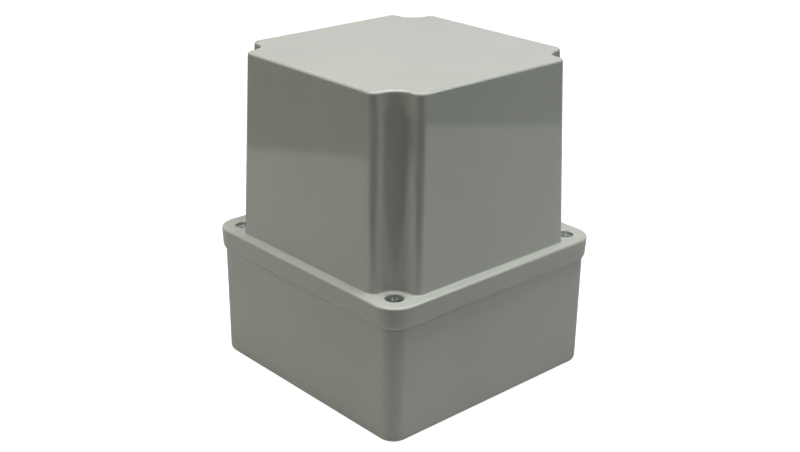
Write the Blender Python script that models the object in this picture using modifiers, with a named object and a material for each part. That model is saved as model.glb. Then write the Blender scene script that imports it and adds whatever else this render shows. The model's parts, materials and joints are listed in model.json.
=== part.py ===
"""Surface-mounted electrical junction box, 100 x 100 x 120 mm inside, with a deep screw-on lid.

The box lies on its back: +Z runs from the wall face to the lid, the front is -Y, and the origin is the
centre of the wall face. The lid lifts off along +Z with its four captive screws. Inside, a top-hat rail
carries three feed-through terminals and one earth terminal, whose screws pull up their clamp cages.
"""

import math

import bmesh
import bpy
from mathutils import Vector

MM = 0.001
GAP = 0.3 * MM  # left between pieces that touch

# ---- Driving dimensions -----------------------------------------------------------------------------
FLANGE_HALF = 54.0 * MM  # half the lid's largest width
FLANGE_TOP = 55.1 * MM
FLANGE_BOTTOM = 46.0 * MM
FLANGE_CORNER = 9.3 * MM
FLANGE_DRAFT = 0.3 * MM  # how much the skirt narrows before its lower edge
FLANGE_TOP_EDGE = (0.9 * MM, 0.9 * MM)  # a rounded edge's depth and height
FLANGE_LOWER_EDGE = (1.3 * MM, 2.4 * MM)
PLATE = 3.2 * MM  # thickness of the lid's plate round the dome
SKIRT = 2.1 * MM

LID_TOP = 128.0 * MM
DOME_FOOT_HALF = 50.3 * MM  # half the dome's width where it leaves the flange
DOME_TOP_HALF = 47.8 * MM
DOME_WALL = 2.0 * MM
DOME_ROOF = 2.2 * MM
DOME_TOP_EDGE = (1.0 * MM, 1.0 * MM)
DOME_FOOT_FILLET = 0.5 * MM
LIP_RADIUS = 3.2 * MM  # convex edges of a screw recess in the dome's corner
COVE_RADIUS = 8.0 * MM  # concave middle of that recess
NOTCH = LIP_RADIUS + COVE_RADIUS

BASE_FOOT_HALF = 52.1 * MM
BASE_SHOULDER_HALF = 52.3 * MM
BASE_SHOULDER = FLANGE_BOTTOM - 0.1 * MM  # the lid's skirt ends just above this step
BASE_RIM_HALF = 51.4 * MM  # the thinner rim inside the skirt
BASE_RIM = 49.7 * MM
BASE_CORNER = 6.8 * MM
BASE_RIM_CORNER = 6.7 * MM
BASE_WALL = 2.2 * MM
BASE_FLOOR = 2.2 * MM
BASE_LOWER_EDGE = (2.4 * MM, 2.4 * MM)
CAVITY_EDGE = (1.5 * MM, 1.5 * MM)

SCREW_AT = 45.0 * MM  # each lid screw's distance from the box's middle, in X and in Y
SCREW_TRAVEL = 9.0 * MM
HEAD_RADIUS = 3.15 * MM
HEAD_HEIGHT = 1.3 * MM
HEAD_TOP = FLANGE_TOP - 0.7 * MM
THREAD_RADIUS = 1.95 * MM
THREAD_LENGTH = 8.8 * MM
NECK_RADIUS = 1.4 * MM
RETAINER_RADIUS = 2.8 * MM
RETAINER_HEIGHT = 1.0 * MM
CROSS_RECESS = (1.9 * MM, 0.45 * MM, 1.0 * MM)  # each slot's half length, half width and depth
RECESS_RADIUS = HEAD_RADIUS + GAP
RECESS_MOUTH = 0.4 * MM  # chamfer round a head's recess
BORE_RADIUS = THREAD_RADIUS + GAP
# The retainer stops under the lid's plate once its screw has risen by its travel.
RETAINER_TOP = FLANGE_TOP - PLATE - GAP - SCREW_TRAVEL
THREAD_TOP = RETAINER_TOP - RETAINER_HEIGHT - GAP
THREAD_BOTTOM = THREAD_TOP - THREAD_LENGTH

RIB_OUT = 1.1 * MM  # the gasket's inner rib, measured inwards from the dome's foot
RIB_HEIGHT = 1.2 * MM
GASKET_INNER, GASKET_OUTER = 0.8 * MM, -1.2 * MM  # its edges, measured inwards from the dome's foot
GASKET_HEIGHT = 1.6 * MM

WALL_HOLE_X, WALL_HOLE_Y = 31.0 * MM, 34.0 * MM
WALL_HOLE_RADIUS = 2.6 * MM
WALL_RECESS_RADIUS = 4.4 * MM
WALL_RECESS_FLOOR = 3.0 * MM
COLLAR_RADIUS = 6.0 * MM
COLLAR_TOP = 6.0 * MM
PLUG_CAP = 1.2 * MM

RAIL_BOTTOM = 7.2 * MM
RAIL_HEIGHT = 7.5 * MM
RAIL_SHEET = 1.0 * MM
RAIL_HALF_WIDTH = 17.5 * MM
RAIL_CHANNEL_HALF = 13.5 * MM
RAIL_LENGTH = 80.0 * MM
RAIL_TOP = RAIL_BOTTOM + RAIL_HEIGHT
RAIL_SLOT_LENGTH, RAIL_SLOT_WIDTH = 12.0 * MM, 5.2 * MM
RAIL_SLOT_AT = 32.0 * MM
RAIL_SCREW_AT = 34.0 * MM
RAIL_BOSS_RADIUS = 4.5 * MM
RAIL_SCREW_TIP = 3.5 * MM
RAIL_SCREW_SHANK = 1.7 * MM
RAIL_HEAD_RADIUS, RAIL_HEAD_HEIGHT, RAIL_HEAD_CHAMFER = 3.4 * MM, 2.4 * MM, 0.8 * MM
RAIL_SCREW_SLOT = (0.4 * MM, 1.1 * MM)

TERMINALS = 4  # the last one is the earth terminal
PITCH = 8.2 * MM
HOUSING_WIDTH = PITCH - GAP
HOUSING_WALL = 1.1 * MM
HOUSING_HALF = 22.0 * MM
SLOPE_BOTTOM = 31.6 * MM
SHOULDER_HALF, SHOULDER_TOP = 19.5 * MM, 42.0 * MM
HUMP_FOOT_HALF, HUMP_HALF, HUMP_TOP = 9.5 * MM, 7.5 * MM, 46.5 * MM
HOOK_BOTTOM, HOOK_REACH = 11.6 * MM, 2.2 * MM
CLAMP_AT = 14.5 * MM  # each clamp's distance from the rail's middle
POCKET_WIDTH = HOUSING_WIDTH - HOUSING_WALL
CLAMP_X = HOUSING_WIDTH / 2 - POCKET_WIDTH / 2  # the pocket's middle, seen from the housing's middle
BAR_BOTTOM, BAR_TOP = 29.0 * MM, 30.2 * MM
BAR_HALF_LENGTH = 18.2 * MM
BAR_WIDTH = 4.2 * MM
CAGE_WIDTH, CAGE_LENGTH = 6.2 * MM, 7.0 * MM
CAGE_BOTTOM, CAGE_TOP = 23.4 * MM, 32.5 * MM
CAGE_FLOOR, CAGE_ROOF, CAGE_SIDE = 1.0 * MM, 1.5 * MM, 0.7 * MM
CLAMP_TRAVEL = 3.5 * MM
CLAMP_HEAD_BOTTOM = CAGE_TOP + CLAMP_TRAVEL + 0.7 * MM
CLAMP_HEAD_HEIGHT = 2.3 * MM
CLAMP_HEAD_TOP = CLAMP_HEAD_BOTTOM + CLAMP_HEAD_HEIGHT
CLAMP_HEAD_RADIUS = 2.8 * MM
CLAMP_THREAD_RADIUS = 1.9 * MM
WIRE_HOLE_RADIUS = 2.6 * MM
WIRE_HOLE_HEIGHT = 26.6 * MM
WIRE_HOLE_REACH = 5.0 * MM
DRIVER_HOLE_RADIUS = 2.3 * MM
SMALL_SCREW_SLOT = (0.4 * MM, 1.1 * MM)
END_PLATE = 1.6 * MM
END_STOP = 8.0 * MM
END_STOP_HALF, END_STOP_SHOULDER = 20.0 * MM, 25.0 * MM
END_STOP_TOP_HALF, END_STOP_TOP = 12.0 * MM, 36.0 * MM
TAG_WIDTH, TAG_LENGTH, TAG_HEIGHT = 6.0 * MM, 9.0 * MM, 1.0 * MM
EARTH_PLATE_HALF = 17.2 * MM
EARTH_PLATE_TOP = RAIL_TOP + GAP + 1.4 * MM
EARTH_PILLAR_HALF = 3.0 * MM
EARTH_SCREW_RADIUS = 1.4 * MM
EARTH_SCREW_TIP = EARTH_PLATE_TOP + 2.0 * MM
EARTH_HEAD_RADIUS, EARTH_HEAD_HEIGHT = 2.7 * MM, 2.0 * MM

ARC_STEPS = 4  # flat steps round a quarter circle
EDGE_STEPS = 2
ROUND_STEPS = 20
SMALL_STEPS = 14
CORNERS = {
    "front_left": (-1, -1),
    "front_right": (1, -1),
    "back_left": (-1, 1),
    "back_right": (1, 1),
}


# ---- Scene, materials and object helpers -------------------------------------------------------------
def clear_scene():
    for obj in list(bpy.data.objects):
        bpy.data.objects.remove(obj)


def new_collection(name):
    collection = bpy.data.collections.new(name)
    bpy.context.scene.collection.children.link(collection)
    return collection


def material(name, colour, roughness, metallic=0.0):
    made = bpy.data.materials.new(name)
    made.use_nodes = True
    shader = made.node_tree.nodes["Principled BSDF"]
    shader.inputs["Base Color"].default_value = (*colour, 1.0)
    shader.inputs["Roughness"].default_value = roughness
    shader.inputs["Metallic"].default_value = metallic
    return made


def add_object(name, data, location=(0, 0, 0), rotation=(0, 0, 0)):
    obj = bpy.data.objects.new(name, data)
    obj.location = location
    obj.rotation_euler = rotation
    PARTS.objects.link(obj)
    return obj


def finish(obj, surface):
    """Gives a part its material, and smooth shading between its sharp edges."""
    obj.data.materials.append(surface)
    if obj.type == "MESH":
        obj.data.shade_smooth()
        obj.data.set_sharp_from_angle(angle=math.radians(35))
    return obj


def combine(obj, other, operation):
    """A Boolean on obj. The other object becomes a hidden helper."""
    modifier = obj.modifiers.new(other.name, "BOOLEAN")
    modifier.operation = operation
    modifier.object = other
    PARTS.objects.unlink(other)
    CUTTERS.objects.link(other)
    other.hide_render = True
    other.display_type = "WIRE"


def cut(obj, *others):
    for other in others:
        combine(obj, other, "DIFFERENCE")


def fuse(obj, *others):
    for other in others:
        combine(obj, other, "UNION")


# ---- Outlines ----------------------------------------------------------------------------------------
def arc(centre, radius, start, end, steps=ARC_STEPS):
    """Points on an arc, from start to end in degrees."""
    angles = [math.radians(start + (end - start) * i / steps) for i in range(steps + 1)]
    return [(centre[0] + radius * math.cos(a), centre[1] + radius * math.sin(a)) for a in angles]


def four_times(corner):
    """A corner's points, turned about the origin into a closed outline."""
    turns = [(1, 0), (0, 1), (-1, 0), (0, -1)]
    return [(x * c - y * s, x * s + y * c) for c, s in turns for x, y in corner]


def rounded_square(half, radius, steps=6):
    middle = half - radius
    return four_times(arc((middle, middle), radius, 0, 90, steps))


def notched_square(half, inset=0.0):
    """The dome's plan: a square whose corners step in round the lid screws.

    half is half its width. inset is how far it lies inside the outer skin, which tightens the convex
    edges and widens the concave ones.
    """
    lip, cove = LIP_RADIUS - inset, COVE_RADIUS + inset
    inner = half - NOTCH
    first_lip = arc((half - lip, inner - lip), lip, 0, 90)
    hollow = arc((inner + cove, inner + cove), cove, 270, 180, ARC_STEPS + 2)
    last_lip = arc((inner - lip, half - lip), lip, 0, 90)
    return four_times(first_lip + hollow[1:-1] + last_lip)


def edge_round(size, steps=EDGE_STEPS):
    """Steps round a convex edge, as (how far in, how far along), from the side to the end face."""
    depth, height = size
    angles = [math.radians(90 * i / steps) for i in range(steps + 1)]
    return [(depth * (1 - math.cos(a)), height * math.sin(a)) for a in angles]


# ---- Solids ------------------------------------------------------------------------------------------
def mesh_object(name, bm, location=(0, 0, 0)):
    bmesh.ops.recalc_face_normals(bm, faces=bm.faces)
    mesh = bpy.data.meshes.new(name)
    bm.to_mesh(mesh)
    bm.free()
    return add_object(name, mesh, location)


def loft(name, rings):
    """A closed body through (outline, height) rings with the same number of points."""
    bm = bmesh.new()
    layers = [[bm.verts.new((x, y, z)) for x, y in outline] for outline, z in rings]
    for lower, upper in zip(layers, layers[1:]):
        for i, corner in enumerate(lower):
            bm.faces.new((lower[i - 1], corner, upper[i], upper[i - 1]))
    bm.faces.new(layers[0][::-1])
    bm.faces.new(layers[-1])
    return mesh_object(name, bm)


def block(name, low, high):
    """A box between two corners, with its object at the middle."""
    low, high = Vector(low), Vector(high)
    bm = bmesh.new()
    bmesh.ops.create_cube(bm, size=1.0)
    bmesh.ops.scale(bm, vec=high - low, verts=bm.verts)
    return mesh_object(name, bm, (low + high) / 2)


def cylinder(name, radius, bottom, top, x=0.0, y=0.0, steps=ROUND_STEPS):
    """An upright cylinder, with its object on the axis at the middle of its height."""
    bm = bmesh.new()
    bmesh.ops.create_cone(
        bm, cap_ends=True, segments=steps, radius1=radius, radius2=radius, depth=top - bottom
    )
    return mesh_object(name, bm, (x, y, (bottom + top) / 2))


def turned(name, profile, location, steps=ROUND_STEPS, closed=False):
    """A (radius, height) profile turned about Z. It runs down the outer side, from the top."""
    mesh = bpy.data.meshes.new(name)
    edges = [(i, i + 1) for i in range(len(profile) - 1)]
    if closed:
        edges.append((len(profile) - 1, 0))
    mesh.from_pydata([(r, 0, z) for r, z in profile], edges, [])
    obj = add_object(name, mesh, location)
    screw = obj.modifiers.new("turn", "SCREW")
    screw.steps = screw.render_steps = steps
    screw.use_merge_vertices = True
    screw.merge_threshold = 1e-6
    return obj


def flat_outline(name, loops, thickness, location=(0, 0, 0), rotation=(0, 0, 0)):
    """Flat outlines with a thickness along the curve's own Z. Inner loops are holes."""
    curve = bpy.data.curves.new(name, "CURVE")
    curve.dimensions = "2D"
    curve.fill_mode = "BOTH"
    curve.extrude = thickness / 2
    for loop in loops:
        spline = curve.splines.new("POLY")
        spline.points.add(len(loop) - 1)
        for point, (x, y) in zip(spline.points, loop):
            point.co = (x, y, 0, 1)
        spline.use_cyclic_u = True
    return add_object(name, curve, location, rotation)


def across_rail(name, outline, width, x):
    """A (y, z) outline with its width along the rail, centred at x, as a mesh that can be cut."""
    lies_along_x = (math.pi / 2, 0, math.pi / 2)
    curve = flat_outline(name, [outline], width, (x, 0, 0), lies_along_x)
    bpy.context.view_layer.update()
    evaluated = curve.evaluated_get(bpy.context.evaluated_depsgraph_get())
    mesh = bpy.data.meshes.new_from_object(evaluated)
    bm = bmesh.new()
    bm.from_mesh(mesh)
    bmesh.ops.remove_doubles(bm, verts=bm.verts, dist=1e-6)
    bmesh.ops.recalc_face_normals(bm, faces=bm.faces)
    bm.to_mesh(mesh)
    bm.free()
    placed = curve.matrix_world.copy()
    bpy.data.objects.remove(curve)
    obj = add_object(name, mesh)
    obj.matrix_world = placed
    return obj


# ---- Enclosure ---------------------------------------------------------------------------------------
def base_body():
    """The base's outer shape: drafted walls, a shoulder, and the thinner rim inside the lid's skirt."""
    rings = [
        (rounded_square(BASE_FOOT_HALF - inset, BASE_CORNER - inset), BASE_LOWER_EDGE[1] - along)
        for inset, along in reversed(edge_round(BASE_LOWER_EDGE))
    ]
    rim = rounded_square(BASE_RIM_HALF, BASE_RIM_CORNER)
    rings += [
        (rounded_square(BASE_SHOULDER_HALF, BASE_CORNER), BASE_SHOULDER),
        (rim, BASE_SHOULDER),
        (rim, BASE_RIM),
    ]
    return loft("base_shell", rings)


def base_cavity(top):
    """The base's inside. Its corners step in round the posts that take the lid screws."""
    mouth_half = BASE_SHOULDER_HALF - BASE_WALL
    floor_half = BASE_FOOT_HALF - BASE_WALL
    skin = DOME_FOOT_HALF - mouth_half  # how far it lies inside the line of the dome's outer skin
    rings = [
        (notched_square(floor_half - inset, skin + inset), BASE_FLOOR + CAVITY_EDGE[1] - along)
        for inset, along in reversed(edge_round(CAVITY_EDGE))
    ]
    mouth = notched_square(mouth_half, skin)
    return loft("base_cavity", [*rings, (mouth, BASE_SHOULDER), (mouth, top)])


def base_shell():
    body = base_body()
    above_rim = BASE_RIM + 1 * MM
    cut(body, base_cavity(above_rim))
    for side in (-1, 1):
        x = side * RAIL_SCREW_AT
        pilot_radius, pilot_bottom = RAIL_SCREW_SHANK + GAP, RAIL_SCREW_TIP - GAP
        fuse(body, cylinder("rail_boss", RAIL_BOSS_RADIUS, BASE_FLOOR / 2, RAIL_BOTTOM - GAP, x))
        cut(body, cylinder("rail_pilot", pilot_radius, pilot_bottom, RAIL_BOTTOM, x, steps=SMALL_STEPS))
    for x_side, y_side in CORNERS.values():
        x, y = x_side * WALL_HOLE_X, y_side * WALL_HOLE_Y
        fuse(body, cylinder("collar", COLLAR_RADIUS, BASE_FLOOR / 2, COLLAR_TOP, x, y))
        cut(
            body,
            cylinder("wall_recess", WALL_RECESS_RADIUS, WALL_RECESS_FLOOR, COLLAR_TOP + GAP, x, y),
            cylinder("wall_hole", WALL_HOLE_RADIUS, -GAP, COLLAR_TOP, x, y, SMALL_STEPS),
        )
        x, y = x_side * SCREW_AT, y_side * SCREW_AT
        cut(
            body,
            cylinder("retainer_bore", RETAINER_RADIUS + GAP, THREAD_TOP - GAP, above_rim, x, y),
            cylinder("thread_bore", BORE_RADIUS, THREAD_BOTTOM - 1 * MM, BASE_RIM, x, y, SMALL_STEPS),
        )
    return finish(body, GREY_PLASTIC)


def flange():
    """The lid's rim: a plate with a skirt that closes over the base, rounded at both edges."""
    lower_half, lower_corner = FLANGE_HALF - FLANGE_DRAFT, FLANGE_CORNER - FLANGE_DRAFT
    (top_depth, top_height), (low_depth, low_height) = FLANGE_TOP_EDGE, FLANGE_LOWER_EDGE
    rings = [
        (rounded_square(lower_half - inset, lower_corner - inset), FLANGE_BOTTOM + low_height - along)
        for inset, along in reversed(edge_round((low_depth, low_height)))
    ]
    rings += [
        (rounded_square(FLANGE_HALF - inset, FLANGE_CORNER - inset), FLANGE_TOP - top_height + along)
        for inset, along in edge_round((top_depth, top_height))
    ]
    return loft("lid_shell", rings)


def dome_outline(height, inset=0.0):
    """The dome's drafted plan at a height, or one that lies inset inside it."""
    draft = (DOME_FOOT_HALF - DOME_TOP_HALF) / (LID_TOP - FLANGE_TOP)
    half = DOME_FOOT_HALF - draft * (height - FLANGE_TOP)
    return notched_square(half - inset, inset), height


def lid_shell():
    lid = flange()
    plate_bottom = FLANGE_TOP - PLATE
    in_plate = FLANGE_TOP - PLATE / 2
    below = FLANGE_BOTTOM - 1 * MM
    pocket = rounded_square(FLANGE_HALF - SKIRT, FLANGE_CORNER - SKIRT)
    cut(lid, loft("skirt_pocket", [(pocket, below), (pocket, plate_bottom)]))
    rib = notched_square(DOME_FOOT_HALF - RIB_OUT, RIB_OUT)
    fuse(lid, loft("gasket_rib", [(rib, plate_bottom - RIB_HEIGHT), (rib, in_plate)]))

    fillet = DOME_FOOT_FILLET
    root = notched_square(DOME_FOOT_HALF + fillet, -fillet)
    foot = [
        (root, in_plate),
        (root, FLANGE_TOP),
        dome_outline(FLANGE_TOP + 0.3 * fillet, -0.3 * fillet),
        dome_outline(FLANGE_TOP + fillet),
    ]
    depth, height = DOME_TOP_EDGE
    crown = [dome_outline(LID_TOP - height + along, inset) for inset, along in edge_round(DOME_TOP_EDGE)]
    fuse(lid, loft("dome", foot + crown))

    ceiling = LID_TOP - DOME_ROOF
    mouth = notched_square(DOME_FOOT_HALF - DOME_WALL, DOME_WALL)
    inside = [
        dome_outline(ceiling - height + along, DOME_WALL + inset)
        for inset, along in edge_round((depth, height))
    ]
    cut(lid, loft("dome_cavity", [(mouth, below), (mouth, FLANGE_TOP), *inside]))
    for x_side, y_side in CORNERS.values():
        x, y = x_side * SCREW_AT, y_side * SCREW_AT
        recess_floor = HEAD_TOP - HEAD_HEIGHT - GAP
        mouth_radius = RECESS_RADIUS + RECESS_MOUTH
        recess = [
            (0, FLANGE_TOP + PLATE),
            (mouth_radius, FLANGE_TOP + PLATE),
            (mouth_radius, FLANGE_TOP),
            (RECESS_RADIUS, FLANGE_TOP - RECESS_MOUTH),
            (RECESS_RADIUS, recess_floor),
            (0, recess_floor),
        ]
        cut(
            lid,
            turned("head_recess", recess, (x, y, 0)),
            cylinder("screw_hole", BORE_RADIUS, below, FLANGE_TOP, x, y, SMALL_STEPS),
        )
    return finish(lid, GREY_PLASTIC)


def lid_gasket():
    loops = [notched_square(DOME_FOOT_HALF - inset, inset) for inset in (GASKET_OUTER, GASKET_INNER)]
    middle = FLANGE_TOP - PLATE - GAP - GASKET_HEIGHT / 2
    return finish(flat_outline("lid_gasket", loops, GASKET_HEIGHT, (0, 0, middle)), BLACK_RUBBER)


def lid_screw(place, x, y):
    seat = HEAD_TOP - HEAD_HEIGHT
    chamfer = 0.3 * MM
    profile = [
        (0, HEAD_TOP),
        (HEAD_RADIUS - chamfer, HEAD_TOP),
        (HEAD_RADIUS, HEAD_TOP - chamfer),
        (HEAD_RADIUS, seat),
        (NECK_RADIUS, seat),
        (NECK_RADIUS, THREAD_TOP),
        (THREAD_RADIUS, THREAD_TOP - chamfer),
        (THREAD_RADIUS, THREAD_BOTTOM + 2 * MM),
        (NECK_RADIUS / 2, THREAD_BOTTOM),
        (0, THREAD_BOTTOM),
    ]
    screw = turned(f"lid_screw_{place}", profile, (x, y, 0), SMALL_STEPS + 2)
    half_length, half_width, depth = CROSS_RECESS
    reaches = [(half_length, half_width, depth), (half_width, half_length, 0.95 * depth)]
    for half_x, half_y, deep in reaches:
        low = (x - half_x, y - half_y, HEAD_TOP - deep)
        cut(screw, block("cross_recess", low, (x + half_x, y + half_y, HEAD_TOP + depth)))
    return finish(screw, STEEL)


def screw_retainer(place, x, y):
    """The nylon ring that snaps on a lid screw's neck and keeps the screw in the lid."""
    inner, bottom = NECK_RADIUS + GAP, RETAINER_TOP - RETAINER_HEIGHT
    profile = [
        (inner, RETAINER_TOP),
        (RETAINER_RADIUS, RETAINER_TOP),
        (RETAINER_RADIUS, bottom),
        (inner, bottom),
    ]
    retainer = turned(f"screw_retainer_{place}", profile, (x, y, 0), closed=True)
    return finish(retainer, WHITE_NYLON)


def wall_plug(place, x, y):
    """The cap that covers a wall screw's head."""
    cap_bottom, cap_top = COLLAR_TOP + GAP, COLLAR_TOP + GAP + PLUG_CAP
    cap_radius, cap_chamfer = COLLAR_RADIUS - 0.8 * MM, 0.4 * MM
    stem_radius, stem_bottom = WALL_RECESS_RADIUS - GAP, WALL_RECESS_FLOOR + 0.4 * MM
    stem_chamfer = 0.6 * MM
    profile = [
        (0, cap_top),
        (cap_radius - cap_chamfer, cap_top),
        (cap_radius, cap_top - cap_chamfer),
        (cap_radius, cap_bottom),
        (stem_radius, cap_bottom),
        (stem_radius, stem_bottom + stem_chamfer),
        (stem_radius - stem_chamfer, stem_bottom),
        (0, stem_bottom),
    ]
    return finish(turned(f"wall_plug_{place}", profile, (x, y, 0)), GREY_PLASTIC)


# ---- Rail and terminals ------------------------------------------------------------------------------
def din_rail():
    inner_channel = RAIL_CHANNEL_HALF - RAIL_SHEET
    flange_bottom = RAIL_TOP - RAIL_SHEET
    right = [
        (RAIL_CHANNEL_HALF, RAIL_BOTTOM),
        (RAIL_CHANNEL_HALF, flange_bottom),
        (RAIL_HALF_WIDTH, flange_bottom),
        (RAIL_HALF_WIDTH, RAIL_TOP),
        (inner_channel, RAIL_TOP),
        (inner_channel, RAIL_BOTTOM + RAIL_SHEET),
    ]
    outline = right + [(-y, z) for y, z in reversed(right)]
    rail = across_rail("din_rail", outline, RAIL_LENGTH, 0)
    radius = RAIL_SLOT_WIDTH / 2
    straight = RAIL_SLOT_LENGTH / 2 - radius
    ends = arc((straight, 0), radius, -90, 90) + arc((-straight, 0), radius, 90, 270)
    low, high = RAIL_BOTTOM - GAP, RAIL_BOTTOM + RAIL_SHEET + GAP
    for side in (-1, 1):
        slot = [(x + side * RAIL_SLOT_AT, y) for x, y in ends]
        cut(rail, loft("rail_slot", [(slot, low), (slot, high)]))
    return finish(rail, ZINC)


def driver_slot(screw, x, y, radius, top, size):
    """A straight slot across a screw's head. size is its half width and its depth."""
    half_width, depth = size
    low = (x - radius - GAP, y - half_width, top - depth)
    cut(screw, block("driver_slot", low, (x + radius + GAP, y + half_width, top + depth)))


def rail_screw(side_name, side):
    seat = RAIL_BOTTOM + RAIL_SHEET + GAP
    top = seat + RAIL_HEAD_HEIGHT
    profile = [
        (0, top),
        (RAIL_HEAD_RADIUS - RAIL_HEAD_CHAMFER, top),
        (RAIL_HEAD_RADIUS, top - RAIL_HEAD_CHAMFER),
        (RAIL_HEAD_RADIUS, seat),
        (RAIL_SCREW_SHANK, seat),
        (RAIL_SCREW_SHANK, RAIL_SCREW_TIP),
        (0, RAIL_SCREW_TIP),
    ]
    x = side * RAIL_SCREW_AT
    screw = turned(f"rail_screw_{side_name}", profile, (x, 0, 0), SMALL_STEPS)
    driver_slot(screw, x, 0, RAIL_HEAD_RADIUS, top, RAIL_SCREW_SLOT)
    return finish(screw, ZINC)


def hooked_foot():
    """The right half of a foot that snaps over the rail, as (y, z) from the middle outwards."""
    flange_edge = RAIL_HALF_WIDTH + GAP
    hook = flange_edge - HOOK_REACH
    under = RAIL_TOP - RAIL_SHEET - GAP
    return [
        (flange_edge, RAIL_TOP + GAP),
        (flange_edge, under),
        (hook, under),
        (hook, HOOK_BOTTOM),
    ]


def mirrored(half_outline):
    return half_outline + [(-y, z) for y, z in reversed(half_outline)]


def housing_outline():
    side = [
        (HOUSING_HALF, HOOK_BOTTOM),
        (HOUSING_HALF, SLOPE_BOTTOM),
        (SHOULDER_HALF, SHOULDER_TOP),
        (HUMP_FOOT_HALF, SHOULDER_TOP),
        (HUMP_HALF, HUMP_TOP),
    ]
    return mirrored(hooked_foot() + side)


def terminal_x(number):
    """The middle of a terminal, counted from 1 at the left."""
    return (number - (TERMINALS + 1) / 2) * PITCH


def terminal_housing(number):
    x = terminal_x(number)
    housing = across_rail(f"terminal_{number}_housing", housing_outline(), HOUSING_WIDTH, x)
    open_side = x + HOUSING_WIDTH / 2 + 1 * MM
    wall_side = x - HOUSING_WIDTH / 2 + HOUSING_WALL
    axis_x = x + CLAMP_X
    head_top = CLAMP_HEAD_TOP + GAP
    cage_top = CAGE_TOP + CLAMP_TRAVEL + GAP

    def pocket(name, y, half_length, bottom, top, side=wall_side):
        """A room in the housing, open towards the next terminal."""
        room = block(name, (side, y - half_length, bottom), (open_side, y + half_length, top))
        cut(housing, room)

    def driver_hole(y, low, high):
        cut(housing, cylinder("driver_hole", DRIVER_HOLE_RADIUS, low, high, axis_x, y, SMALL_STEPS))

    bar_side = axis_x - BAR_WIDTH / 2 - GAP
    pocket("bar_slot", 0, BAR_HALF_LENGTH + GAP, BAR_BOTTOM - GAP, BAR_TOP + GAP, bar_side)
    for side in (-1, 1):
        y = side * CLAMP_AT
        pocket("cage_pocket", y, CAGE_LENGTH / 2 + GAP, CAGE_BOTTOM - GAP, cage_top)
        pocket("head_pocket", y, CLAMP_HEAD_RADIUS + GAP, cage_top - GAP, head_top)
        driver_hole(y, head_top - GAP, SHOULDER_TOP + GAP)
        reach = WIRE_HOLE_REACH
        wire_hole = cylinder("wire_hole", WIRE_HOLE_RADIUS, -reach, reach, steps=SMALL_STEPS)
        wire_hole.rotation_euler = (math.pi / 2, 0, 0)
        wire_hole.location = (axis_x, side * HOUSING_HALF, WIRE_HOLE_HEIGHT)
        cut(housing, wire_hole)
    if number == TERMINALS:
        pillar_room = EARTH_PILLAR_HALF + GAP
        head_room = BAR_TOP + GAP + EARTH_HEAD_HEIGHT + GAP
        pocket("foot_slot", 0, EARTH_PLATE_HALF + GAP, RAIL_TOP - GAP, EARTH_PLATE_TOP + GAP)
        pocket("pillar_slot", 0, pillar_room, RAIL_TOP, head_room)
        driver_hole(0, head_room - GAP, HUMP_TOP + GAP)
    return housing


def earth_foot():
    """The metal foot that joins the earth terminal's bar to the rail."""
    half = [
        (EARTH_PLATE_HALF, RAIL_TOP + GAP),
        (EARTH_PLATE_HALF, EARTH_PLATE_TOP),
        (EARTH_PILLAR_HALF, EARTH_PLATE_TOP),
        (EARTH_PILLAR_HALF, BAR_BOTTOM - GAP),
    ]
    x = terminal_x(TERMINALS) + CLAMP_X
    foot = across_rail("earth_foot", mirrored(half), CAGE_WIDTH, x)
    hole = EARTH_SCREW_RADIUS + GAP
    cut(foot, cylinder("foot_thread", hole, EARTH_SCREW_TIP - GAP, BAR_BOTTOM, x, 0, SMALL_STEPS))
    return finish(foot, ZINC)


def earth_foot_screw():
    seat = BAR_TOP + GAP
    top = seat + EARTH_HEAD_HEIGHT
    profile = [
        (0, top),
        (EARTH_HEAD_RADIUS, top),
        (EARTH_HEAD_RADIUS, seat),
        (EARTH_SCREW_RADIUS, seat),
        (EARTH_SCREW_RADIUS, EARTH_SCREW_TIP),
        (0, EARTH_SCREW_TIP),
    ]
    x = terminal_x(TERMINALS) + CLAMP_X
    screw = turned("earth_foot_screw", profile, (x, 0, 0), SMALL_STEPS)
    driver_slot(screw, x, 0, EARTH_HEAD_RADIUS, top, SMALL_SCREW_SLOT)
    return finish(screw, ZINC)


def terminal_bar(number):
    x = terminal_x(number) + CLAMP_X
    low = (x - BAR_WIDTH / 2, -BAR_HALF_LENGTH, BAR_BOTTOM)
    bar = block(f"terminal_{number}_bar", low, (x + BAR_WIDTH / 2, BAR_HALF_LENGTH, BAR_TOP))
    if number == TERMINALS:
        hole = EARTH_SCREW_RADIUS + GAP
        cut(bar, cylinder("bar_hole", hole, BAR_BOTTOM - GAP, BAR_TOP + GAP, x, 0, SMALL_STEPS))
    return finish(bar, BRASS)


def clamp_cage(number, side_name, side):
    """A steel sleeve round the bar. Its screw pulls it up, and its floor lifts the wire to the bar."""
    x, y = terminal_x(number) + CLAMP_X, side * CLAMP_AT
    half, reach = CAGE_WIDTH / 2, CAGE_LENGTH / 2
    name = f"clamp_cage_{number}_{side_name}"
    cage = block(name, (x - half, y - reach, CAGE_BOTTOM), (x + half, y + reach, CAGE_TOP))
    inner, floor, roof = half - CAGE_SIDE, CAGE_BOTTOM + CAGE_FLOOR, CAGE_TOP - CAGE_ROOF
    hole = CLAMP_THREAD_RADIUS + GAP
    cut(
        cage,
        block("cage_window", (x - inner, y - CAGE_LENGTH, floor), (x + inner, y + CAGE_LENGTH, roof)),
        cylinder("cage_thread", hole, roof - GAP, CAGE_TOP + GAP, x, y, SMALL_STEPS),
    )
    return finish(cage, ZINC)


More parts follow.
